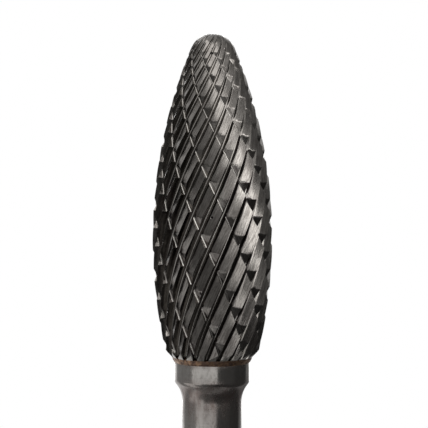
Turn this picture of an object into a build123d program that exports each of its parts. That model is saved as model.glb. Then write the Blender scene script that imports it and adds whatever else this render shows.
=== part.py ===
"""Flame-shaped carbide burr with a double cut head and a 6 mm shank.

The axis is Z. The origin is at the centre of the shank's end face, and the nose points up (+Z).
Lengths are in millimetres and angles in degrees.
"""

import os
from math import asin, cos, degrees, hypot, radians, sin, sqrt, tan

from build123d import *

# Shank
shank_diameter = 6.0
shank_length = 45.0  # from the end face to the underside of the head
shank_end_chamfer = 0.5
collar_diameter = 7.6
collar_length = 2.0
collar_edge_radius = 0.75  # rounding at the collar's lower edge
neck_length = 2.2  # from the straight collar down to the straight shank

# Braze
braze_film = 0.1  # thickness between the collar and the head
braze_climb = 0.15  # height of the fillet on the head's chamfer
braze_drop = 0.3  # height of the fillet on the collar

# Head outline
head_diameter = 12.0
head_length = 32.5
widest_height = 12.0  # height of the widest section above the head's underside
heel_diameter = 9.05  # outline at the underside, before the chamfer
underside_diameter = 7.8  # flat that is left inside the chamfer
nose_radius = 2.375

# Flutes: a ratchet tooth form, right-hand helix
flutes = 22
flute_depth = 0.52  # at the widest section, in proportion elsewhere
flute_helix = (22.7, 25.9, 22.8)  # helix angle at the underside, halfway up and at the nose
flute_start = 3.8  # turn of the first cutting edge at the underside
rake_turn = 3.6  # turn taken up by the rake face

# Second cut: crosses the flutes with a left-hand helix and parts each one into short teeth
second_cuts = 11
second_depth = 0.52
second_helix = (19.9, 26.7, 25.4)
second_start = 10.9  # turn of the first steep wall at the underside
second_wall_turn = 0.15  # turn taken up by the steep wall
second_turn = 10.7  # turn from the steep wall to where the gentle wall reaches the outline

# Flat facets that stand for the twisted faces
flute_facet_turn = 12.0
second_facet_turn = 14.0

# Derived sizes
shank_radius = shank_diameter / 2
collar_radius = collar_diameter / 2
head_radius = head_diameter / 2
heel_radius = heel_diameter / 2
underside_radius = underside_diameter / 2
collar_step = collar_radius - shank_radius
collar_top = shank_length - braze_film
collar_bottom = collar_top - collar_length
neck_bottom = collar_bottom - neck_length

# The neck's hollow arc meets the shank and the collar's rounded edge without a corner.
neck_radius = (neck_length**2 + (collar_step - collar_edge_radius) ** 2 - collar_edge_radius**2) / (
    2 * collar_step
)
neck_angle = degrees(asin(neck_length / (neck_radius + collar_edge_radius)))

# The upper flank is an arc that is vertical at the widest section and meets the nose ball smoothly.
nose_centre = head_length - nose_radius
nose_rise = nose_centre - widest_height
upper_flank_radius = (head_radius**2 + nose_rise**2 - nose_radius**2) / (
    2 * (head_radius - nose_radius)
)
nose_tilt = degrees(asin(nose_rise / (upper_flank_radius - nose_radius)))
heel_step = head_radius - heel_radius
lower_flank_radius = (widest_height**2 + heel_step**2) / (2 * heel_step)

flute_pitch = 360 / flutes
second_pitch = 360 / second_cuts
clear = 0.05 * head_diameter  # how far the cutting forms stand past the head


def outline(height):
    """Radius of the head's outline and the length of its flank for each unit of height."""
    flank = upper_flank_radius if height > widest_height else lower_flank_radius
    across = sqrt(flank**2 - (height - widest_height) ** 2)
    return head_radius - flank + across, flank / across


def helix(facet_turn, angles):
    """Stations up the head as (height, turn), one facet apart, past both ends."""
    heel, middle, nose = angles
    steps = 24
    height, turn = 0.0, 0.0

    def rate(h):
        radius, stretch = outline(h)
        share = h / head_length
        swell = 4 * share * (1 - share)
        angle = heel + (nose - heel) * share + (middle - (heel + nose) / 2) * swell
        return degrees(tan(radians(angle)) * stretch / radius)

    down = facet_turn / rate(0)
    stations = [(-down, -facet_turn), (height, turn)]
    while height < head_length:
        for _ in range(steps):
            height += facet_turn / steps / rate(height)
        turn += facet_turn
        stations.append((height, turn))
    return stations


def at(radius, turn, height):
    """Point at a turn measured from the front (-Y) towards +X, above the underside."""
    x, y = radius * sin(radians(turn)), -radius * cos(radians(turn))
    return Vector(x, y, shank_length + height)


def faceted_loft(sections):
    """Closed solid through polygon sections, each strip between two of them in flat triangles."""
    faces = [
        Face(Wire.make_polygon(sections[0])),
        Face(Wire.make_polygon(sections[-1])),
    ]
    for low, high in zip(sections, sections[1:]):
        for a, b, c, d in zip(low, low[1:] + low[:1], high[1:] + high[:1], high):
            faces.append(Face(Wire.make_polygon([a, b, c])))
            faces.append(Face(Wire.make_polygon([a, c, d])))
    return Solid(Shell(faces))


def fluted_form():
    """The head with its flutes alone: a rake face and a relief face for each tooth."""
    sections = []
    for height, turn in helix(flute_facet_turn, flute_helix):
        radius, _ = outline(height)
        root = radius * (1 - flute_depth / head_radius)
        points = []
        for tooth in range(flutes):
            edge = flute_start + turn + tooth * flute_pitch
            points.append(at(radius, edge, height))
            points.append(at(root, edge + rake_turn, height))
        sections.append(points)
    return faceted_loft(sections)


def second_form():
    """What the second cut leaves: it stands outside the head, apart from its sawtooth grooves."""
    proud = clear / head_radius
    sections = []
    for height, turn in helix(second_facet_turn, second_helix):
        radius, _ = outline(height)
        floor = radius * (1 - second_depth / head_radius)
        crest = radius * (1 + proud)
        reach = second_turn * (crest - floor) / (radius - floor)
        points = []
        for cut in range(second_cuts):
            wall = second_start - turn + cut * second_pitch
            points.append(at(crest, wall, height))
            points.append(at(floor, wall + second_wall_turn, height))
            points.append(at(crest, wall + reach, height))
        sections.append(points)
    return faceted_loft(sections)


fluted = fluted_form()
crossed = second_form()

with BuildPart() as ends:
    with BuildSketch(Plane.XZ):
        with BuildLine():
            nose = CenterArc(
                (0, shank_length + nose_centre), nose_radius, nose_tilt, 90 - nose_tilt
            )
            reach = 2 * head_radius
            flare = nose @ 0 + Vector(reach * tan(radians(nose_tilt)), -reach)
            skirt = shank_length + head_radius + clear - underside_radius
            Polyline(
                nose @ 0,
                flare,
                (flare.X, skirt),
                (head_radius + clear, skirt),
                (underside_radius, shank_length),
                (0, shank_length),
                nose @ 1,
            )
        make_face()
    revolve(axis=Axis.Z)

with BuildPart() as carbide_head:
    add(fluted)
    add(crossed, mode=Mode.INTERSECT)
    add(ends.part, mode=Mode.INTERSECT)
carbide_head.part.label = "carbide_head"

with BuildPart() as braze_joint:
    with BuildSketch(Plane.XZ):
        with BuildLine():
            Polyline(
                (underside_radius + braze_climb, shank_length + braze_climb),
                (underside_radius, shank_length),
                (0, shank_length),
                (0, collar_top),
                (collar_radius, collar_top),
                (collar_radius, collar_top - braze_drop),
                close=True,
            )
        make_face()
    revolve(axis=Axis.Z)
braze_joint.part.label = "braze_joint"

with BuildPart() as steel_shank:
    with BuildSketch(Plane.XZ):
        with BuildLine():
            neck = CenterArc(
                (shank_radius + neck_radius, neck_bottom), neck_radius, 180 - neck_angle, neck_angle
            )
            edge = CenterArc(
                (collar_radius - collar_edge_radius, collar_bottom),
                collar_edge_radius,
                -neck_angle,
                neck_angle,
            )
            Polyline(
                edge @ 1,
                (collar_radius, collar_top),
                (0, collar_top),
                (0, 0),
                (shank_radius, 0),
                neck @ 1,
            )
        make_face()
    revolve(axis=Axis.Z)
    chamfer(steel_shank.faces().sort_by(Axis.Z)[0].edges(), shank_end_chamfer)
steel_shank.part.label = "steel_shank"

os.makedirs("parts", exist_ok=True)
for piece in (carbide_head, braze_joint, steel_shank):
    export_step(piece.part, f"parts/{piece.part.label}.step")
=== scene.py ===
"""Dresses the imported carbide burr: a ground double cut head, its braze and a satin steel shank.

Sizes in the property groups are metres and radians. The axis is Z, the nose points up, and turns
are measured from the front (-Y) towards +X. Heights on the head are measured from its underside.
"""

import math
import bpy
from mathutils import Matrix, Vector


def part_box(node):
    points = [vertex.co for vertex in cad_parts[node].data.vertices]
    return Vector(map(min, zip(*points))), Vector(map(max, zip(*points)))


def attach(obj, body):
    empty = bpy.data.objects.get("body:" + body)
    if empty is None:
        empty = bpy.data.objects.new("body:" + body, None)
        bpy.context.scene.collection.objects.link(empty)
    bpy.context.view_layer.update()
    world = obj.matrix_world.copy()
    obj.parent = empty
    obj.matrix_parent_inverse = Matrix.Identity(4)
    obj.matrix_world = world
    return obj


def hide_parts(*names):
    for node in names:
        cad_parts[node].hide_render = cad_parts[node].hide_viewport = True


bl_info = {
    "name": "Carbide Burr",
    "version": (1, 0, 0),
    "blender": (4, 5, 0),
    "location": "View3D > Sidebar > Burr",
    "description": "Builds a flame-shaped double cut carbide burr and a studio to show it in",
    "category": "Object",
}

import bmesh
import bpy
import numpy as np
from bpy.props import FloatProperty, FloatVectorProperty, IntProperty, PointerProperty
from mathutils import Matrix, Vector

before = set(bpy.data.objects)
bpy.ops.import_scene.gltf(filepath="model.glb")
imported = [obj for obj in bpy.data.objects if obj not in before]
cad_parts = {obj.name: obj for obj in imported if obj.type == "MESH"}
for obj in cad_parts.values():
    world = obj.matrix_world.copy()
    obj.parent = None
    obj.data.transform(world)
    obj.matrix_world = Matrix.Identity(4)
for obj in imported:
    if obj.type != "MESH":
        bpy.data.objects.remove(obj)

MM = 0.001
AXIS = Vector((0, 0, 1))
CENTRE = Vector((0, 0, 0))
HEAD_LOW, HEAD_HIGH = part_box("carbide_head")
SHANK_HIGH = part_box("steel_shank")[1]
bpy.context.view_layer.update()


# ---------------------------------------------------------------- sizes and colours


class BurrHeadSizes(bpy.types.PropertyGroup):
    """The carbide head: its outline, flutes and second cut."""

    underside: FloatProperty(
        name="Underside", description="Height of the head's flat end", default=HEAD_LOW.z, unit="LENGTH"
    )
    length: FloatProperty(
        name="Length", description="Underside to nose", default=HEAD_HIGH.z - HEAD_LOW.z, unit="LENGTH"
    )
    radius: FloatProperty(name="Radius", description="At the widest section", default=6.0 * MM, unit="LENGTH")
    widest: FloatProperty(
        name="Widest height", description="Above the underside", default=12.0 * MM, unit="LENGTH"
    )
    heel_radius: FloatProperty(
        name="Heel radius", description="Outline at the underside", default=4.525 * MM, unit="LENGTH"
    )
    underside_radius: FloatProperty(
        name="Underside radius", description="Inside the chamfer", default=3.9 * MM, unit="LENGTH"
    )
    nose_radius: FloatProperty(
        name="Nose radius", description="Ball at the tip", default=2.375 * MM, unit="LENGTH"
    )
    flutes: IntProperty(name="Flutes", description="Right-hand teeth", default=22, min=3)
    flute_depth: FloatProperty(
        name="Flute depth", description="At the widest section", default=0.84 * MM, unit="LENGTH"
    )
    flute_helix: FloatVectorProperty(
        name="Flute helix",
        description="Helix angle at the underside, halfway up and at the nose",
        size=3,
        default=(math.radians(22.7), math.radians(25.9), math.radians(22.8)),
        subtype="EULER",
        unit="ROTATION",
    )
    flute_start: FloatProperty(
        name="Flute start",
        description="Turn of the first cutting edge at the underside",
        default=math.radians(3.8),
        subtype="ANGLE",
    )
    flute_lean: FloatProperty(
        name="Rake lean", description="Run of a flute's rake face to its drop", default=0.22, min=0
    )
    flute_root: FloatProperty(
        name="Flute root", description="Radius at the bottom of a flute", default=0.22 * MM, unit="LENGTH"
    )
    flute_land: FloatProperty(
        name="Groove share", description="Share of a pitch from the edge to the tooth's back", default=0.42
    )
    flute_relief: FloatProperty(
        name="Relief", description="Share of the depth the tooth's relief face falls", default=0.48
    )
    flute_knee: FloatProperty(
        name="Knee", description="Rounded length each side of the tooth's back", default=0.1 * MM, unit="LENGTH"
    )
    relief_hollow: FloatProperty(
        name="Relief hollow", description="1 makes the relief face flat, more makes it hollow", default=1.25
    )
    flute_taper: FloatProperty(
        name="Flute taper", description="How much shallower the flutes are near the nose", default=0.32
    )
    cuts: IntProperty(name="Second cuts", description="Left-hand grooves", default=11, min=2)
    cut_depth: FloatProperty(
        name="Second cut depth", description="At the widest section", default=0.5 * MM, unit="LENGTH"
    )
    cut_helix: FloatVectorProperty(
        name="Second helix",
        description="Helix angle at the underside, halfway up and at the nose",
        size=3,
        default=(math.radians(19.9), math.radians(26.7), math.radians(25.4)),
        subtype="EULER",
        unit="ROTATION",
    )
    cut_start: FloatProperty(
        name="Second start",
        description="Turn of the first steep wall at the underside",
        default=math.radians(10.9),
        subtype="ANGLE",
    )
    cut_reach: FloatProperty(
        name="Second reach",
        description="Turn from a groove's steep wall to where its flank runs out",
        default=math.radians(11.8),
        subtype="ANGLE",
    )
    cut_lean: FloatProperty(
        name="Wall lean", description="Run of the second cut's steep wall to its drop", default=0.2, min=0
    )
    cut_root: FloatProperty(
        name="Second root", description="Radius at the second cut's bottom", default=0.17 * MM, unit="LENGTH"
    )
    wander: FloatProperty(
        name="Wander",
        description="How much the depth of one tooth may differ from the next",
        default=0.05,
        min=0,
        max=0.3,
    )


class BurrShankSizes(bpy.types.PropertyGroup):
    """The steel shank with its neck and collar."""

    length: FloatProperty(
        name="Length", description="Free end to the collar's top", default=SHANK_HIGH.z, unit="LENGTH"
    )
    radius: FloatProperty(name="Radius", description="Below the neck", default=3.0 * MM, unit="LENGTH")
    chamfer: FloatProperty(name="Chamfer", description="On the free end", default=0.5 * MM, unit="LENGTH")
    neck_length: FloatProperty(
        name="Neck length", description="Hollow curve below the collar", default=2.2 * MM, unit="LENGTH"
    )
    collar_radius: FloatProperty(
        name="Collar radius", description="Of the collar under the head", default=SHANK_HIGH.x, unit="LENGTH"
    )
    collar_height: FloatProperty(
        name="Collar height", description="Straight part of the collar", default=2.0 * MM, unit="LENGTH"
    )
    collar_edge: FloatProperty(
        name="Collar edge", description="Radius of the collar's lower edge", default=0.75 * MM, unit="LENGTH"
    )


class BurrFinish(bpy.types.PropertyGroup):
    """Colours of the three metals."""

    carbide: FloatVectorProperty(
        name="Carbide",
        description="Ground tungsten carbide",
        size=4,
        default=(0.19, 0.179, 0.166, 1),
        subtype="COLOR",
        min=0,
        max=1,
    )
    # Grinding marks and dull patches, and also the painted shade on the faces of the second cut's notches.
    carbide_marks_and_shade: FloatVectorProperty(
        name="Carbide marks",
        description="Grinding marks and dull patches in the carbide",
        size=4,
        default=(0.078, 0.071, 0.065, 1),
        subtype="COLOR",
        min=0,
        max=1,
    )
    # Painted glints: the colour of the bright specks that stand for sparkle on the carbide.
    carbide_glint: FloatVectorProperty(
        name="Carbide grain",
        description="Bright specks in the carbide",
        size=4,
        default=(0.3, 0.285, 0.265, 1),
        subtype="COLOR",
        min=0,
        max=1,
    )
    # Painted highlight: a lighter colour for the rounded roots of the grooves, standing for the bright line
    # they reflect.
    root_highlight: FloatVectorProperty(
        name="Burnished",
        description="Rubbed bottoms of the grooves",
        size=4,
        default=(0.36, 0.345, 0.32, 1),
        subtype="COLOR",
        min=0,
        max=1,
    )
    pore: FloatVectorProperty(
        name="Pore",
        description="Pores in the carbide",
        size=4,
        default=(0.012, 0.011, 0.01, 1),
        subtype="COLOR",
        min=0,
        max=1,
    )
    steel: FloatVectorProperty(
        name="Steel",
        description="Satin ground shank",
        size=4,
        default=(0.345, 0.33, 0.312, 1),
        subtype="COLOR",
        min=0,
        max=1,
    )
    steel_dark: FloatVectorProperty(
        name="Steel marks",
        description="Dull patches of the shank",
        size=4,
        default=(0.19, 0.178, 0.163, 1),
        subtype="COLOR",
        min=0,
        max=1,
    )
    # Heat tint, which also paints a dark reflection band round the neck and tints the collar's top rim.
    brown_tint_and_reflection: FloatVectorProperty(
        name="Heat tint",
        description="Brown tint left on the neck by the brazing",
        size=4,
        default=(0.15, 0.105, 0.095, 1),
        subtype="COLOR",
        min=0,
        max=1,
    )
    braze: FloatVectorProperty(
        name="Braze",
        description="Silver-copper filler",
        size=4,
        default=(0.36, 0.225, 0.14, 1),
        subtype="COLOR",
        min=0,
        max=1,
    )
    flux: FloatVectorProperty(
        name="Flux",
        description="Dark residue on the filler",
        size=4,
        default=(0.1, 0.066, 0.052, 1),
        subtype="COLOR",
        min=0,
        max=1,
    )


class BurrStage(bpy.types.PropertyGroup):
    """Camera, floor and lights."""

    distance: FloatProperty(
        name="Camera distance", description="From the aim point", default=150 * MM, unit="LENGTH"
    )
    elevation: FloatProperty(
        name="Camera elevation", description="Above the horizon", default=math.radians(2.1), subtype="ANGLE"
    )
    aim: FloatProperty(
        name="Aim height", description="Aim point above the shank's end", default=59.47 * MM, unit="LENGTH"
    )
    roll: FloatProperty(
        name="Camera roll", description="Lean of the picture", default=math.radians(0.16), subtype="ANGLE"
    )
    lens: FloatProperty(name="Lens", description="Focal length in millimetres", default=125.8)
    shift: FloatProperty(
        name="Camera shift", description="Sideways, as a share of the picture's width", default=1.5 / 428
    )
    floor: FloatVectorProperty(
        name="Floor", description="Floor colour", size=4, default=(0.8, 0.8, 0.8, 1), subtype="COLOR"
    )
    floor_radius: FloatProperty(
        name="Floor radius", description="Of the round floor", default=0.16, unit="LENGTH"
    )
    card: FloatVectorProperty(
        name="Card", description="Cloth of the cards", size=4, default=(0.03, 0.03, 0.03, 1), subtype="COLOR"
    )
    reach: FloatProperty(
        name="Studio reach", description="From the burr to the lamps", default=0.5, unit="LENGTH"
    )
    level: FloatProperty(name="Level", description="Strength of the plain light", default=0.9, min=0)
    key: FloatProperty(name="Key", description="Radiance of the soft key lamp", default=3.9, min=0)
    spill: FloatProperty(name="Spill", description="Radiance of the lamp above the key", default=0.936, min=0)
    top: FloatProperty(name="Top lamp", description="Radiance of the lamp above left", default=2.3, min=0)
    back: FloatProperty(name="Back lamp", description="Radiance of the lamp behind", default=2.6, min=0)


# ---------------------------------------------------------------- mesh helpers


def placed(name, bm, material=None):
    """Moves a bmesh into a new object of the scene."""
    mesh = bpy.data.meshes.new(name)
    bm.to_mesh(mesh)
    bm.free()
    if material is not None:
        mesh.materials.append(material)
    thing = bpy.data.objects.new(name, mesh)
    bpy.context.scene.collection.objects.link(thing)
    return thing


def new_piece(name, bm, material, replaced):
    """Turns a bmesh into a finished piece that stands for a CAD node."""
    piece = placed(name, bm, material)
    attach(piece, "root")
    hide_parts(replaced)
    return piece


ROUND, SHANK_ROUND = 144, 192  # steps round a turned piece
TOUCHING = 1e-7  # vertices of a turned piece that lie this close are one


def turned(profile, steps):
    """Closed solid of revolution about Z: profile is (radius, height) from the low pole to the high one."""
    bm = bmesh.new()
    verts = [bm.verts.new((radius, 0, height)) for radius, height in profile]
    edges = [bm.edges.new(pair) for pair in zip(verts, verts[1:])]
    bmesh.ops.spin(
        bm,
        geom=verts + edges,
        cent=CENTRE,
        axis=AXIS,
        angle=math.tau,
        steps=steps,
        use_merge=True,
        use_duplicate=False,
    )
    bmesh.ops.remove_doubles(bm, verts=bm.verts, dist=TOUCHING)
    bmesh.ops.recalc_face_normals(bm, faces=bm.faces)
    return bm


def arc(centre, radius, start, end, steps):
    """Points (radius, height) of an arc in the profile plane."""
    return [
        (centre[0] + radius * math.cos(a), centre[1] + radius * math.sin(a))
        for a in np.linspace(start, end, steps + 1)
    ]


def shade(piece, sharp_angle):
    """Smooth shading with sharp edges above an angle."""
    piece.data.polygons.foreach_set("use_smooth", [True] * len(piece.data.polygons))
    piece.data.set_sharp_from_angle(angle=sharp_angle)


# ---------------------------------------------------------------- the head's geometry


OUTLINE_SAMPLES = 1200
BELOW_UNDERSIDE = 0.29  # radians of the lower arc, from the widest section past the underside
FORM_ROWS = 150  # rings of vertices from end to end of a wrapped form
SEAM = 2e-7  # vertices of a wrapped form that lie this close are one
FLUTE_APEX = 1.16  # depth at which a flute's two sides would meet, to its named depth
CUT_APEX = 1.17  # the same for the second cut
FLUTE_SEED, CUT_SEED = 11, 5
FLUTE_OVERRUN, CUT_OVERRUN = 0.6 * MM, 1.2 * MM  # how far the forms go on below the underside
HEEL_TOP = 2.2 * MM  # below this height the flutes get deeper towards the underside
HEEL_DEEPER = 0.4
TAPER_LOW, TAPER_HIGH = 13 * MM, 28 * MM  # heights between which the flutes grow shallower
FLUTE_FADE = 31.2 * MM  # height above which the flutes fade
FLUTE_STOP, STOP_SPREAD = 31.9 * MM, 0.2 * MM  # where every second flute runs out
RIPPLE_RATE = (0.5, 1.1)  # radians per millimetre along a flute
RIPPLE_DEPTH = 0.4  # to the wander
CUT_FADE, CUT_STOP = 30.2 * MM, 31.7 * MM  # where the second cut fades and runs out
CUT_PROUD = 0.1  # how far the second form stands clear between its grooves, to the radius
CUT_CLEAR = 0.15 * MM  # how far it stands clear past the end of its grooves
GROUND_DEEPER = 0.007  # what lies this much below the flutes, to the radius, the second cut ground


class Flame:
    """The head's outline by length along it, and how far the flutes have turned there."""

    def __init__(self, sizes):
        """Finds the two arcs that meet at the widest section, and where the nose's ball starts."""
        self.sizes = sizes
        rise = sizes.length - sizes.nose_radius - sizes.widest
        self.upper = (sizes.radius**2 + rise**2 - sizes.nose_radius**2) / (
            2 * (sizes.radius - sizes.nose_radius)
        )
        step = sizes.radius - sizes.heel_radius
        self.lower = (sizes.widest**2 + step**2) / (2 * step)
        self.tilt = math.asin(rise / (self.upper - sizes.nose_radius))
        self.nose_start = self.upper * self.tilt
        self.apex = self.nose_start + (math.pi / 2 - self.tilt) * sizes.nose_radius
        self.along = np.linspace(-self.lower * BELOW_UNDERSIDE, self.apex, OUTLINE_SAMPLES)
        self.flute_turn = self._helix(*sizes.flute_helix)
        self.cut_turn = self._helix(*sizes.cut_helix)

    def outline(self, along):
        """Radius, height and outward direction of the outline."""
        sizes, nose = self.sizes, self.sizes.nose_radius
        flank = np.where(along > 0, self.upper, self.lower)
        angle = along / flank
        ball = along > self.nose_start
        angle = np.where(ball, self.tilt + (along - self.nose_start) / nose, angle)
        radius = np.where(ball, nose * np.cos(angle), sizes.radius - flank * (1 - np.cos(angle)))
        nose_height = sizes.length - nose + nose * np.sin(angle)
        height = np.where(ball, nose_height, sizes.widest + flank * np.sin(angle))
        return radius, height + sizes.underside, np.cos(angle), np.sin(angle)

    def _helix(self, heel, middle, nose):
        """Turn at each length for a helix angle that swells or sinks between the ends."""
        flank = np.where(self.along > 0, self.upper, self.lower)
        radius = self.sizes.radius - flank * (1 - np.cos(self.along / flank))
        height = self.outline(self.along)[1] - self.sizes.underside
        share = height / self.sizes.length
        swell = 4 * share * (1 - share)
        angle = heel + (nose - heel) * share + (middle - (heel + nose) / 2) * swell
        rate = np.tan(angle) / radius
        step = np.diff(self.along)
        turn = np.concatenate([[0], np.cumsum((rate[1:] + rate[:-1]) / 2 * step)])
        return turn - np.interp(0, height, turn)

    def along_at(self, height):
        """Length along the outline at a height above the underside."""
        return float(np.interp(height, self.outline(self.along)[1] - self.sizes.underside, self.along))


def wrapped(flame, low, columns, hand, start):
    """A closed tube wrapped round the flame from low to its tip. columns is (turn, inset) over one
    full turn, where inset(along, radius) is the depth below the outline. hand is 1 for the flutes'
    turn and -1 for the second cut's."""
    bm = bmesh.new()
    bmesh.ops.create_grid(bm, x_segments=len(columns), y_segments=FORM_ROWS, size=1)
    bm.verts.ensure_lookup_table()
    flat = np.array([v.co[:] for v in bm.verts])
    column = np.rint((flat[:, 0] + 1) / 2 * len(columns)).astype(int)
    row = (flat[:, 1] + 1) / 2
    along = low + (flame.apex - low) * row
    radius, height, out, up = flame.outline(along)
    turns = flame.flute_turn if hand > 0 else -flame.cut_turn
    turn = start + np.interp(along, flame.along, turns)
    turn = turn + np.array([c[0] for c in columns] + [columns[0][0] + math.tau])[column]
    inset = np.zeros(len(along))
    for index, (_, depth) in enumerate(columns + [columns[0]]):
        here = column == index
        inset[here] = depth(along[here], radius[here])
    r = radius - inset * out
    z = height - inset * up
    x, y = r * np.sin(turn), -r * np.cos(turn)
    for vert, place in zip(bm.verts, zip(x, y, z)):
        vert.co = place
    bmesh.ops.remove_doubles(bm, verts=bm.verts, dist=SEAM)
    rim = [edge for edge in bm.edges if edge.is_boundary]
    caps = bmesh.ops.holes_fill(bm, edges=rim, sides=0)["faces"]
    bmesh.ops.poke(bm, faces=caps)
    bmesh.ops.recalc_face_normals(bm, faces=bm.faces)
    if bm.calc_volume(signed=True) < 0:
        bmesh.ops.reverse_faces(bm, faces=bm.faces)
    return bm


def groove_profile(apex, far, root_radius, steps, flank_steps):
    """Section of a ground groove from its edge (0, 0) to just short of far: a steep wall and a
    sloping flank that would meet at apex, joined by a rounded root. Each point is (across, depth)."""
    edge, apex, far = Vector((0, 0)), Vector(apex), Vector(far)
    up_wall, up_flank = (edge - apex).normalized(), (far - apex).normalized()
    half = up_wall.angle(up_flank) / 2
    centre = apex + (up_wall + up_flank).normalized() * (root_radius / math.sin(half))
    tangent = root_radius / math.tan(half)
    first = apex + up_wall * tangent - centre
    last = apex + up_flank * tangent - centre
    swing = first.angle(last)
    turn = math.copysign(1, first.cross(last))
    points = [edge, edge.lerp(apex + up_wall * tangent, 0.5)]
    for step in range(steps + 1):
        points.append(centre + Matrix.Rotation(turn * swing * step / steps, 2) @ first)
    foot = points[-1]
    points += [foot.lerp(far, step / flank_steps) for step in range(1, flank_steps)]
    return [tuple(point) for point in points]


def flute_section(sizes):
    """The flute's section as (share of a pitch, share of the depth). The knee is a curve between
    the back slope and the relief face. The relief face sags below the arc between its ends: with a
    relief_hollow of 1 by as much as makes it flat."""
    pitch = math.tau * sizes.radius / sizes.flutes
    apex = Vector((sizes.flute_lean * sizes.flute_depth, FLUTE_APEX * sizes.flute_depth))
    knee = Vector((sizes.flute_land * pitch, sizes.flute_relief * sizes.flute_depth))
    far = Vector((pitch, 0))
    before = knee - (knee - apex).normalized() * sizes.flute_knee
    after = knee + (far - knee).normalized() * sizes.flute_knee
    points = groove_profile(apex, before, sizes.flute_root, steps=7, flank_steps=2)
    for step in (0, 0.2, 0.4, 0.6, 0.8, 1):
        points.append(tuple(before.lerp(knee, step).lerp(knee.lerp(after, step), step)))
    hollow = sizes.radius * ((far.x - after.x) / sizes.radius) ** 2 / 2 * sizes.relief_hollow
    for step in (0.25, 0.5, 0.75):
        place = after.lerp(far, step)
        points.append((place.x, place.y + hollow * step * (1 - step)))
    deepest = max(depth for _, depth in points)
    return [(across / pitch, depth / deepest) for across, depth in points]


def cut_section(sizes):
    """The second cut's section as (turn, share of the depth), without its far edge."""
    apex = (sizes.cut_lean * sizes.cut_depth, CUT_APEX * sizes.cut_depth)
    width = sizes.cut_reach * sizes.radius
    points = groove_profile(apex, (width, 0), sizes.cut_root, steps=7, flank_steps=4)
    deepest = max(depth for _, depth in points)
    return [(across / sizes.radius, depth / deepest) for across, depth in points]


def fluted_form(flame):
    """The ground flame with its flutes: edge, rake face, rounded root, back slope and relief face.
    The flutes run out at the nose, every second one sooner."""
    sizes = flame.sizes
    pitch = math.tau / sizes.flutes
    seeds = np.random.default_rng(FLUTE_SEED)
    fading = flame.along_at(FLUTE_FADE)
    low = flame.along_at(0) - FLUTE_OVERRUN
    heel = flame.along_at(HEEL_TOP)
    taper_low, taper_high = flame.along_at(TAPER_LOW), flame.along_at(TAPER_HIGH)
    section = flute_section(sizes)
    columns = []
    for tooth in range(sizes.flutes):
        depth = sizes.flute_depth / sizes.radius * (1 + sizes.wander * seeds.uniform(-1, 1))
        stop = flame.along_at(FLUTE_STOP + STOP_SPREAD * seeds.uniform(-1, 1)) if tooth % 2 else flame.apex
        wave, offset = seeds.uniform(*RIPPLE_RATE) / MM, seeds.uniform(0, math.tau)
        for turn, share in section:
            def inset(along, radius, share=share, depth=depth, stop=stop, wave=wave, offset=offset):
                fade = np.clip((stop - along) / (stop - fading), 0, 1)
                ripple = 1 + RIPPLE_DEPTH * sizes.wander * np.sin(along * wave + offset)
                deeper = 1 + HEEL_DEEPER * np.clip((heel - along) / (heel - low), 0, 1) ** 1.5
                nearness = np.clip((along - taper_low) / (taper_high - taper_low), 0, 1)
                shallow = 1 - sizes.flute_taper * nearness
                return share * depth * ripple * deeper * shallow * radius * fade

            columns.append(((tooth + turn) * pitch, inset))
    return wrapped(flame, low, columns, 1, sizes.flute_start)


def crossed_form(flame):
    """What the second cut leaves: from where a groove's flank runs out it rises clear of the flame,
    and just before the next groove's wall it comes down again."""
    sizes = flame.sizes
    depth = sizes.cut_depth / sizes.radius
    pitch = math.tau / sizes.cuts
    past_flank = [(sizes.cut_reach, 0), (1.3 * sizes.cut_reach, -0.3)]
    before_wall = [(0.97 * pitch, -CUT_PROUD / depth), (0.99 * pitch, -0.4)]
    section = cut_section(sizes) + past_flank + before_wall
    fading, stop = flame.along_at(CUT_FADE), flame.along_at(CUT_STOP)
    seeds = np.random.default_rng(CUT_SEED)
    columns = []
    for cut in range(sizes.cuts):
        bite = 1 + sizes.wander * seeds.uniform(-1, 1)
        for turn, share in section:
            def inset(along, radius, share=share * bite if share > 0 else share):
                fade = np.clip((stop - along) / (stop - fading), 0, 1)
                return share * depth * radius * fade - CUT_CLEAR * (1 - fade)

            columns.append((cut * pitch + turn, inset))
    return wrapped(flame, flame.along_at(0) - CUT_OVERRUN, columns, -1, sizes.cut_start)


def ends_form(flame):
    """Cylinder whose lower end carries the head's chamfer."""
    sizes = flame.sizes
    wide = sizes.radius * 1.3
    bottom, top = sizes.underside, sizes.underside + sizes.length * 1.1
    profile = [
        (0, bottom),
        (sizes.underside_radius, bottom),
        (wide, bottom + wide - sizes.underside_radius),
        (wide, top),
        (0, top),
    ]
    return turned(profile, ROUND)


def keep_common(piece, helpers):
    """Leaves of the piece only what also lies in every helper, and removes the helpers."""
    for helper in helpers:
        modifier = piece.modifiers.new("cut", "BOOLEAN")
        modifier.operation = "INTERSECT"
        modifier.solver = "EXACT"
        modifier.object = helper
    graph = bpy.context.evaluated_depsgraph_get()
    result = bpy.data.meshes.new_from_object(piece.evaluated_get(graph))
    if not result.polygons:
        raise RuntimeError(f"nothing is left of {piece.name}")
    piece.modifiers.clear()
    old = piece.data
    piece.data = result
    bpy.data.meshes.remove(old)
    for helper in helpers:
        mesh = helper.data
        bpy.data.objects.remove(helper)
        bpy.data.meshes.remove(mesh)


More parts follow.
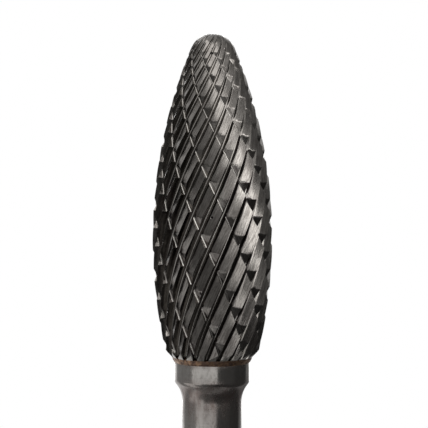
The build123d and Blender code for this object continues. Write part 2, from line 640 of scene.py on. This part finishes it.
def map_grind(piece, flame):
    """Writes the UV maps the grinding marks follow. "flute" counts teeth across and millimetres
    along a flute, "cut" does so for the second cut, and "side" holds how deep the surface lies in
    its own groove and whether the second cut ground it."""
    sizes = flame.sizes
    mesh = piece.data
    places = np.empty(len(mesh.vertices) * 3)
    mesh.vertices.foreach_get("co", places)
    places = places.reshape(-1, 3)
    hearts = np.empty(len(mesh.polygons) * 3)
    mesh.polygons.foreach_get("center", hearts)
    hearts = hearts.reshape(-1, 3)
    corner = np.empty(len(mesh.loops), dtype=np.int64)
    mesh.loops.foreach_get("vertex_index", corner)
    total = np.empty(len(mesh.polygons), dtype=np.int64)
    mesh.polygons.foreach_get("loop_total", total)
    owner = np.repeat(np.arange(len(total)), total)

    def along_of(points):
        return np.interp(points[:, 2], flame.outline(flame.along)[1], flame.along)

    def teeth_across(points, along, turns, start, count):
        turn = np.arctan2(points[:, 0], -points[:, 1])
        return (turn - start - np.interp(along, flame.along, turns)) / (math.tau / count)

    place_along, heart_along = along_of(places), along_of(hearts)

    def unroll(name, turns, start, count):
        """Unrolls each face in one piece, also where the count of teeth starts again."""
        middle = np.mod(teeth_across(hearts, heart_along, turns, start, count), count)
        across = teeth_across(places, place_along, turns, start, count)[corner]
        across = across + count * np.rint((middle[owner] - across) / count)
        layer = mesh.uv_layers.new(name=name)
        layer.uv.foreach_set("vector", np.column_stack([across, place_along[corner] / MM]).ravel())
        return middle

    tooth = unroll("flute", flame.flute_turn, sizes.flute_start, sizes.flutes)
    unroll("cut", -flame.cut_turn, sizes.cut_start, sizes.cuts)
    outer = flame.outline(heart_along)[0]
    depth = (outer - np.hypot(hearts[:, 0], hearts[:, 1])) / outer
    turns, shares = np.array(flute_section(sizes) + [(1.0, 0.0)]).T
    fluted = np.interp(tooth % 1, turns, shares) * sizes.flute_depth / sizes.radius
    crossed = (depth - fluted > GROUND_DEEPER).astype(float)
    deepest = np.where(crossed > 0, sizes.cut_depth, sizes.flute_depth) / sizes.radius
    sunk = np.clip(depth / deepest, 0, 1)
    layer = mesh.uv_layers.new(name="side")
    layer.uv.foreach_set("vector", np.column_stack([sunk[owner], crossed[owner]]).ravel())


# ---------------------------------------------------------------- materials


class Wiring:
    """Short ways to add and join the nodes of one tree."""

    def __init__(self, tree):
        self.tree = tree

    def node(self, kind, **values):
        node = self.tree.nodes.new(kind)
        for name, value in values.items():
            setattr(node, name, value)
        return node

    def link(self, source, target):
        self.tree.links.new(source, target)

    def feed(self, socket, value):
        """A socket takes either another node's output or a plain value."""
        if isinstance(value, bpy.types.NodeSocket):
            self.link(value, socket)
        else:
            socket.default_value = value

    def math(self, operation, first, second, clamp=False):
        node = self.node("ShaderNodeMath", operation=operation, use_clamp=clamp)
        self.feed(node.inputs[0], first)
        self.feed(node.inputs[1], second)
        return node.outputs[0]

    def scaled(self, vector, scale):
        node = self.node("ShaderNodeVectorMath", operation="MULTIPLY")
        self.feed(node.inputs[0], vector)
        node.inputs[1].default_value = scale
        return node.outputs[0]

    def noise(self, vector, scale, detail, roughness=0.5):
        node = self.node("ShaderNodeTexNoise")
        self.feed(node.inputs["Vector"], vector)
        self.feed(node.inputs["Scale"], scale)
        node.inputs["Detail"].default_value = detail
        node.inputs["Roughness"].default_value = roughness
        return node.outputs["Fac"]

    def spread(self, value, low, high, to_low=0.0, to_high=1.0):
        """Maps low..high to to_low..to_high and stops at the ends."""
        node = self.node("ShaderNodeMapRange")
        self.feed(node.inputs["Value"], value)
        for name, number in (
            ("From Min", low), ("From Max", high), ("To Min", to_low), ("To Max", to_high)
        ):
            node.inputs[name].default_value = number
        return node.outputs["Result"]

    def blend(self, share, first, second, kind="RGBA"):
        """Mixes two colours or, with the kind VECTOR, two vectors."""
        node = self.node("ShaderNodeMix", data_type=kind)
        self.feed(node.inputs["Factor"], share)
        self.feed(node.inputs["A"], first)
        self.feed(node.inputs["B"], second)
        return node.outputs["Result"]

    def bump(self, height, strength, distance, normal=None):
        node = self.node("ShaderNodeBump")
        node.inputs["Strength"].default_value = strength
        node.inputs["Distance"].default_value = distance
        self.feed(node.inputs["Height"], height)
        if normal is not None:
            self.link(normal, node.inputs["Normal"])
        return node.outputs["Normal"]


def blotch_group():
    """Dull clouds and fine specks that every one of the burr's metals has a little of."""
    name = "metal_blotches"
    if name in bpy.data.node_groups:
        return bpy.data.node_groups[name]
    group = bpy.data.node_groups.new(name, "ShaderNodeTree")
    group.interface.new_socket("Vector", in_out="INPUT", socket_type="NodeSocketVector")
    wires = Wiring(group)
    entry = wires.node("NodeGroupInput")
    leave = wires.node("NodeGroupOutput")
    for label, scale, detail, low, high in (
        ("Cloud", 900.0, 3.0, 0.36, 0.66),
        ("Speck", 6000.0, 1.0, 0.42, 0.7),
    ):
        socket = group.interface.new_socket(f"{label} Scale", in_out="INPUT", socket_type="NodeSocketFloat")
        socket.default_value = scale
        group.interface.new_socket(f"{label}s", in_out="OUTPUT", socket_type="NodeSocketFloat")
        noise = wires.noise(entry.outputs["Vector"], entry.outputs[f"{label} Scale"], detail)
        wires.link(wires.spread(noise, low, high), leave.inputs[f"{label}s"])
    return group


def blotches(wires, vector, cloud_scale, speck_scale):
    """Places the blotch group in a material and gives its clouds and its specks."""
    group = wires.node("ShaderNodeGroup", node_tree=blotch_group())
    wires.link(vector, group.inputs["Vector"])
    group.inputs["Cloud Scale"].default_value = cloud_scale
    group.inputs["Speck Scale"].default_value = speck_scale
    return group.outputs["Clouds"], group.outputs["Specks"]


def metal(name):
    """A bare metal with its wiring, its shader and its Object coordinates."""
    material = bpy.data.materials.new(name)
    material.use_nodes = True
    wires = Wiring(material.node_tree)
    shader = material.node_tree.nodes["Principled BSDF"]
    shader.inputs["Metallic"].default_value = 1.0
    return material, wires, shader, wires.node("ShaderNodeTexCoord").outputs["Object"]


def pores(wires, place):
    """A mask of rare round pits."""
    cells = wires.node("ShaderNodeTexVoronoi", feature="F1")
    wires.link(place, cells.inputs["Vector"])
    cells.inputs["Scale"].default_value = 900.0
    pick = wires.node("ShaderNodeSeparateColor")
    wires.link(cells.outputs["Color"], pick.inputs[0])
    rare = wires.math("GREATER_THAN", pick.outputs[0], 0.93)
    return wires.math("MULTIPLY", wires.spread(cells.outputs["Distance"], 0.14, 0.09), rare)


def carbide_material(finish):
    """Grey carbide with the wheel's marks along each flute and along each second cut, painted highlights
    on the groove roots, painted shade on the second cut's faces, specks painted as glints, and pores."""
    material, wires, shader, place = metal("ground_carbide")
    flute, cut, side = (
        wires.node("ShaderNodeUVMap", uv_map=name).outputs["UV"] for name in ("flute", "cut", "side")
    )
    parts = wires.node("ShaderNodeSeparateXYZ")
    wires.link(side, parts.inputs[0])
    sunk, crossed = parts.outputs["X"], parts.outputs["Y"]
    along_flute, along_cut = wires.scaled(flute, (1, 0.045, 1)), wires.scaled(cut, (2, 0.045, 1))
    along = wires.blend(crossed, along_flute, along_cut, kind="VECTOR")
    coarse = wires.noise(along, scale=13.0, detail=2.0, roughness=0.6)
    fine = wires.noise(along, scale=37.0, detail=2.0, roughness=0.65)
    marks = wires.math("ADD", wires.math("MULTIPLY", coarse, 0.5), wires.math("MULTIPLY", fine, 0.5))
    clouds, specks = blotches(wires, place, cloud_scale=850.0, speck_scale=7000.0)
    pit = pores(wires, place)
    dull = wires.math("MULTIPLY", wires.spread(marks, 0.44, 0.58), 0.75)
    dull = wires.math("ADD", dull, wires.math("MULTIPLY", clouds, 0.3))
    # Painted shade: faces the second cut ground are painted a little darker, as the shade in its notches.
    dull = wires.math("ADD", dull, wires.math("MULTIPLY", crossed, 0.1), clamp=True)
    color = wires.blend(dull, finish.carbide, finish.carbide_marks_and_shade)
    # Painted glints: rare specks painted lighter.
    color = wires.blend(wires.math("MULTIPLY", specks, 0.12), color, finish.carbide_glint)
    # Painted highlight: the deepest part of each groove is painted lighter.
    root_highlight_share = wires.math("MULTIPLY", wires.spread(sunk, 0.86, 0.97), 0.6)
    color = wires.blend(root_highlight_share, color, finish.root_highlight)
    color = wires.blend(pit, color, finish.pore)
    wires.link(color, shader.inputs["Base Color"])
    wires.link(wires.spread(marks, 0.35, 0.65, 0.12, 0.24), shader.inputs["Roughness"])
    normal = wires.bump(marks, strength=0.6, distance=0.018 * MM)
    level = wires.math("SUBTRACT", 1.0, pit)
    normal = wires.bump(level, strength=0.8, distance=0.03 * MM, normal=normal)
    wires.link(normal, shader.inputs["Normal"])
    return material


def tint_and_reflection_mask(wires, place):
    """A mask of a brown band round the neck, which is partly heat tint from the brazing and partly a painted
    dark reflection, and of a brown tint on the collar's top rim.
    """
    parts = wires.node("ShaderNodeSeparateXYZ")
    wires.link(place, parts.inputs[0])
    height, top = parts.outputs["Z"], SHANK_HIGH.z
    neck = wires.math(
        "MULTIPLY",
        wires.spread(height, top - 7 * MM, top - 3.4 * MM),
        wires.spread(height, top - 1.4 * MM, top - 3.2 * MM),
    )
    rim = wires.spread(height, top - 0.7 * MM, top)
    return wires.math("ADD", neck, wires.math("MULTIPLY", rim, 1.2))


def steel_material(finish):
    """Satin steel: fine turning marks round the shank, cloudy dull patches, a brown band round the neck that is
    partly heat tint and partly a painted dark reflection, and a brown tint on the collar's rim.
    """
    material, wires, shader, place = metal("satin_steel")
    rings = wires.noise(wires.scaled(place, (200, 200, 6000)), scale=1.0, detail=2.0, roughness=0.6)
    drawn = wires.scaled(place, (1, 1, 0.5))
    clouds, specks = blotches(wires, drawn, cloud_scale=1100.0, speck_scale=5600.0)
    patch = wires.math("MULTIPLY", clouds, specks)
    dull = wires.math("ADD", wires.math("MULTIPLY", clouds, 0.25), wires.math("MULTIPLY", patch, 0.7))
    dull = wires.math("ADD", dull, wires.spread(rings, 0.5, 0.75, 0.0, 0.2), clamp=True)
    color = wires.blend(dull, finish.steel, finish.steel_dark)
    cloudy = wires.spread(clouds, 0.0, 1.0, 0.35, 0.85)
    # Painted reflection: the dark band round the neck is painted in, as well as tinted brown.
    brown_tint_and_reflection = wires.math("MULTIPLY", tint_and_reflection_mask(wires, place), cloudy, clamp=True)
    color = wires.blend(brown_tint_and_reflection, color, finish.brown_tint_and_reflection)
    wires.link(color, shader.inputs["Base Color"])
    satin = wires.spread(patch, 0.0, 0.8, 0.14, 0.23)
    wires.link(wires.math("ADD", satin, wires.math("MULTIPLY", brown_tint_and_reflection, 0.24)), shader.inputs["Roughness"])
    normal = wires.bump(rings, strength=0.12, distance=0.003 * MM)
    normal = wires.bump(patch, strength=0.12, distance=0.006 * MM, normal=normal)
    wires.link(normal, shader.inputs["Normal"])
    return material


def braze_material(finish):
    """Frozen filler: lumpy gold-brown metal under patches of dark flux."""
    material, wires, shader, place = metal("braze")
    clouds, specks = blotches(wires, place, cloud_scale=2400.0, speck_scale=9000.0)
    lumps = wires.noise(place, scale=1700.0, detail=2.0, roughness=0.55)
    stain = wires.spread(clouds, 0.1, 0.8, 0.25, 0.95)
    wires.link(wires.blend(stain, finish.braze, finish.flux), shader.inputs["Base Color"])
    wires.link(wires.spread(clouds, 0.0, 1.0, 0.28, 0.6), shader.inputs["Roughness"])
    normal = wires.bump(lumps, strength=0.9, distance=0.12 * MM)
    normal = wires.bump(specks, strength=0.4, distance=0.02 * MM, normal=normal)
    wires.link(normal, shader.inputs["Normal"])
    return material


def plain_material(name, color, glow=0.0):
    """A matt cloth that may glow white."""
    material = bpy.data.materials.new(name)
    material.use_nodes = True
    shader = material.node_tree.nodes["Principled BSDF"]
    shader.inputs["Base Color"].default_value = color
    shader.inputs["Roughness"].default_value = 0.9
    shader.inputs["Emission Color"].default_value = (1, 1, 1, 1)
    shader.inputs["Emission Strength"].default_value = glow
    return material


# ---------------------------------------------------------------- the studio

# Cards that stand round the burr, as round any bright metal, and shape what it shows: dark and grey
# flags, and one light card. Each has its azimuths and its elevations in degrees as the burr sees
# them, its distance in reaches and its glow. Where two overlap, the nearer one shows.
CARDS = (
    ("flag_left", (-96, -36), (-2, 17), 1.98, 0.2),
    ("flag_left_upper", (-96, -36), (17, 32), 2.1, 0.32),
    ("flag_left_side", (-140, -96), (-2, 32), 2.08, 0.95),
    ("flag_left_high", (-120, -30), (32, 46), 2.08, 0.6),
    ("flag_left_low", (-128, -98), (-62, -15), 2.06, 0.3),
    ("flag_left_grey", (-136, -64), (-15, -2), 2.08, 0.3),
    ("flag_front", (-32, -8), (-5, 14), 2.0, 0.36),
    ("card_front", (-6, 20), (-5, 20), 2.0, 2.1),
    ("flag_front_low", (-34, 4), (-62, -15), 2.08, 0.1),
    ("flag_front_left_low", (-60, -34), (-62, -30), 2.18, 0.2),
    ("flag_right_low", (4, 130), (-62, -14), 2.08, 0.02),
    ("flag_right_front", (16, 72), (-14, -1), 2.12, 0.03),
    ("flag_right_black", (72, 130), (-14, -1), 2.12, 0.01),
    ("flag_right", (60, 126), (17, 45), 2.0, 0.27),
    ("flag_right_middle", (20, 72), (-1, 17), 2.14, 0.55),
    ("flag_right_edge", (72, 100), (-1, 17), 2.1, 0.25),
    ("flag_right_side", (100, 126), (-1, 17), 2.1, 0.15),
    ("flag_right_high", (42, 180), (45, 74), 2.1, 0.4),
    ("flag_back_right", (126, 152), (-62, -4), 2.1, 0.2),
    ("flag_back_low_right", (152, 178), (-62, -14), 2.18, 0.12),
    ("flag_back_low", (178, 208), (-62, -42), 2.06, 0.15),
)
BELOW_RADIUS, BELOW_DROP, BELOW_GLOW = 1.7, 3.2, 0.2  # the card under the burr, in reaches
CARD_STEP = 5  # degrees of a bent card to one flat strip


def lay_floor(stage):
    """A plain round floor that the metal doesn't show."""
    bm = bmesh.new()
    bmesh.ops.create_circle(bm, cap_ends=True, segments=96, radius=stage.floor_radius)
    floor = placed("floor", bm, plain_material("floor", stage.floor))
    floor.visible_glossy = False


def light_world(stage):
    """Plain light on the burr, and white where the camera or a reflection looks past it."""
    world = bpy.data.worlds.new("studio")
    bpy.context.scene.world = world
    world.use_nodes = True
    wires = Wiring(world.node_tree)
    plain = world.node_tree.nodes["Background"]
    white = wires.node("ShaderNodeBackground")
    for background, strength in ((plain, stage.level), (white, 1.0)):
        background.inputs["Color"].default_value = (1, 1, 1, 1)
        background.inputs["Strength"].default_value = strength
    paths = wires.node("ShaderNodeLightPath")
    seen = wires.math("ADD", paths.outputs["Is Camera Ray"], paths.outputs["Is Glossy Ray"])
    seen = wires.math("ADD", seen, paths.outputs["Is Transmission Ray"], clamp=True)
    mix = wires.node("ShaderNodeMixShader")
    wires.link(seen, mix.inputs[0])
    wires.link(plain.outputs[0], mix.inputs[1])
    wires.link(white.outputs[0], mix.inputs[2])
    wires.link(mix.outputs[0], world.node_tree.nodes["World Output"].inputs["Surface"])


def soft_lamp(name, stage, at, span, radiance, tilt=0):
    """A rectangular soft lamp that faces the burr. In degrees as the burr sees them, at is its
    azimuth, from the front towards the right, and its elevation, span is its width and height, and
    tilt turns it about its own axis."""
    data = bpy.data.lights.new(name, "AREA")
    data.shape = "RECTANGLE"
    data.size, data.size_y = (2 * stage.reach * math.tan(math.radians(angle / 2)) for angle in span)
    data.energy = radiance * math.pi * data.size * data.size_y
    lamp = bpy.data.objects.new(name, data)
    bpy.context.scene.collection.objects.link(lamp)
    azimuth, elevation = (math.radians(angle) for angle in at)
    level = math.cos(elevation)
    out = Vector((math.sin(azimuth) * level, -math.cos(azimuth) * level, math.sin(elevation)))
    lamp.matrix_world = (
        Matrix.Translation(Vector((0, 0, stage.aim)) + out * stage.reach)
        @ out.to_track_quat("Z", "Y").to_matrix().to_4x4()
        @ Matrix.Rotation(math.radians(tilt), 4, "Z")
    )
    lamp.visible_camera = False


def add_card(name, bm, stage, glow):
    """A card that only the metal's reflections show."""
    card = placed(name, bm, plain_material(name, stage.card, glow))
    card.visible_camera = False
    card.visible_shadow = False
    card.visible_diffuse = False


def bent_card(name, stage, azimuths, elevations, reach, glow):
    """A card bent round the burr's axis."""
    bm = bmesh.new()
    turn = Matrix.Rotation(math.radians(azimuths[0]), 3, "Z")
    heights = (stage.aim + reach * math.tan(math.radians(elevation)) for elevation in elevations)
    verts = [bm.verts.new(turn @ Vector((0, -reach, height))) for height in heights]
    edge = bm.edges.new(verts)
    swing = azimuths[1] - azimuths[0]
    bmesh.ops.spin(
        bm,
        geom=verts + [edge],
        cent=CENTRE,
        axis=AXIS,
        angle=math.radians(swing),
        steps=max(4, swing // CARD_STEP),
        use_merge=False,
        use_duplicate=False,
    )
    add_card(name, bm, stage, glow)


def card_below(stage):
    """A round card far under the burr."""
    bm = bmesh.new()
    bmesh.ops.create_circle(bm, cap_ends=True, segments=48, radius=BELOW_RADIUS * stage.reach)
    bmesh.ops.translate(bm, verts=bm.verts, vec=(0, 0, -BELOW_DROP * stage.reach))
    add_card("flag_below", bm, stage, BELOW_GLOW)


def place_camera(stage):
    """Looks at the aim point from the front, a little from above."""
    data = bpy.data.cameras.new("camera")
    data.lens = stage.lens
    data.sensor_width = 36.0
    data.shift_x = stage.shift
    data.clip_start = 0.01
    data.clip_end = 10
    camera = bpy.data.objects.new("camera", data)
    bpy.context.scene.collection.objects.link(camera)
    back = Vector((0, -math.cos(stage.elevation), math.sin(stage.elevation)))
    camera.matrix_world = (
        Matrix.Translation(Vector((0, 0, stage.aim)) + back * stage.distance)
        @ (-back).to_track_quat("-Z", "Y").to_matrix().to_4x4()
        @ Matrix.Rotation(stage.roll, 4, "Z")
    )
    bpy.context.scene.camera = camera


# ---------------------------------------------------------------- operators


class BURR_OT_head(bpy.types.Operator):
    """Grinds the double cut carbide head"""

    bl_idname = "burr.head"
    bl_label = "Carbide Head"

    def execute(self, context):
        flame = Flame(context.scene.burr_head)
        material = carbide_material(context.scene.burr_finish)
        piece = new_piece("cutting_head", fluted_form(flame), material, "carbide_head")
        keep_common(piece, (placed("ends", ends_form(flame)), placed("crossed", crossed_form(flame))))
        map_grind(piece, flame)
        shade(piece, sharp_angle=math.radians(28))
        return {"FINISHED"}


FILLET = ((0.05, 0.08), (0.17, 0.3))  # the braze's hollow: millimetres out from the collar, and up


class BURR_OT_braze(bpy.types.Operator):
    """Runs the braze fillet round the joint"""

    bl_idname = "burr.braze"
    bl_label = "Braze Fillet"

    def execute(self, context):
        low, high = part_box("braze_joint")
        head, shank = context.scene.burr_head, context.scene.burr_shank
        collar, top = shank.collar_radius, shank.length
        hollow = [(collar + out * MM, low.z + up * MM) for out, up in FILLET]
        profile = [(0, top), (collar, top), (collar, low.z), *hollow, (high.x, high.z)]
        profile += [(head.underside_radius, head.underside), (0, head.underside)]
        material = braze_material(context.scene.burr_finish)
        piece = new_piece("braze_fillet", turned(profile, ROUND), material, "braze_joint")
        shade(piece, sharp_angle=math.radians(40))
        return {"FINISHED"}


class BURR_OT_shank(bpy.types.Operator):
    """Turns the steel shank with its collar and neck"""

    bl_idname = "burr.shank"
    bl_label = "Steel Shank"

    def execute(self, context):
        sizes = context.scene.burr_shank
        shank, collar, top = sizes.radius, sizes.collar_radius, sizes.length
        edge, neck_length, chamfer = sizes.collar_edge, sizes.neck_length, sizes.chamfer
        collar_low = top - sizes.collar_height
        step = collar - shank
        hollow = (neck_length**2 + (step - edge) ** 2 - edge**2) / (2 * step)
        angle = math.asin(neck_length / (hollow + edge))
        neck_centre = (shank + hollow, collar_low - neck_length)
        neck = arc(neck_centre, hollow, math.pi, math.pi - angle, steps=24)
        round_edge = arc((collar - edge, collar_low), edge, -angle, 0, steps=14)
        profile = [(0, 0), (shank - chamfer, 0), (shank, chamfer), *neck, *round_edge[1:]]
        profile += [(collar, top), (0, top)]
        material = steel_material(context.scene.burr_finish)
        piece = new_piece("shank", turned(profile, SHANK_ROUND), material, "steel_shank")
        shade(piece, sharp_angle=math.radians(35))
        return {"FINISHED"}


class BURR_OT_stage(bpy.types.Operator):
    """Sets the floor, the lights, the cards and the camera"""

    bl_idname = "burr.stage"
    bl_label = "Studio"

    def execute(self, context):
        stage = context.scene.burr_stage
        context.scene.view_settings.view_transform = "Standard"
        lay_floor(stage)
        light_world(stage)
        soft_lamp("key", stage, at=(32, 26), span=(42, 18), radiance=stage.key, tilt=-24)
        soft_lamp("key_spill", stage, at=(-6, 41), span=(30, 12), radiance=stage.spill)
        soft_lamp("top", stage, at=(-66, 56), span=(76, 22), radiance=stage.top)
        soft_lamp("back", stage, at=(180, 8), span=(50, 40), radiance=stage.back)
        for name, azimuths, elevations, distance, glow in CARDS:
            bent_card(name, stage, azimuths, elevations, distance * stage.reach, glow)
        card_below(stage)
        place_camera(stage)
        return {"FINISHED"}


class BURR_PT_panel(bpy.types.Panel):
    """Lists the burr's pieces"""

    bl_idname = "BURR_PT_panel"
    bl_label = "Carbide Burr"
    bl_space_type = "VIEW_3D"
    bl_region_type = "UI"
    bl_category = "Burr"

    def draw(self, context):
        for operator in OPERATORS:
            self.layout.operator(operator.bl_idname)


OPERATORS = (BURR_OT_head, BURR_OT_braze, BURR_OT_shank, BURR_OT_stage)
CLASSES = (BurrHeadSizes, BurrShankSizes, BurrFinish, BurrStage, *OPERATORS, BURR_PT_panel)


def register():
    for cls in CLASSES:
        bpy.utils.register_class(cls)
    bpy.types.Scene.burr_head = PointerProperty(type=BurrHeadSizes)
    bpy.types.Scene.burr_shank = PointerProperty(type=BurrShankSizes)
    bpy.types.Scene.burr_finish = PointerProperty(type=BurrFinish)
    bpy.types.Scene.burr_stage = PointerProperty(type=BurrStage)


def unregister():
    del bpy.types.Scene.burr_stage
    del bpy.types.Scene.burr_finish
    del bpy.types.Scene.burr_shank
    del bpy.types.Scene.burr_head
    for cls in reversed(CLASSES):
        bpy.utils.unregister_class(cls)


def main():
    register()
    bpy.ops.burr.head()
    bpy.ops.burr.braze()
    bpy.ops.burr.shank()
    bpy.ops.burr.stage()


if __name__ == "__main__":
    main()
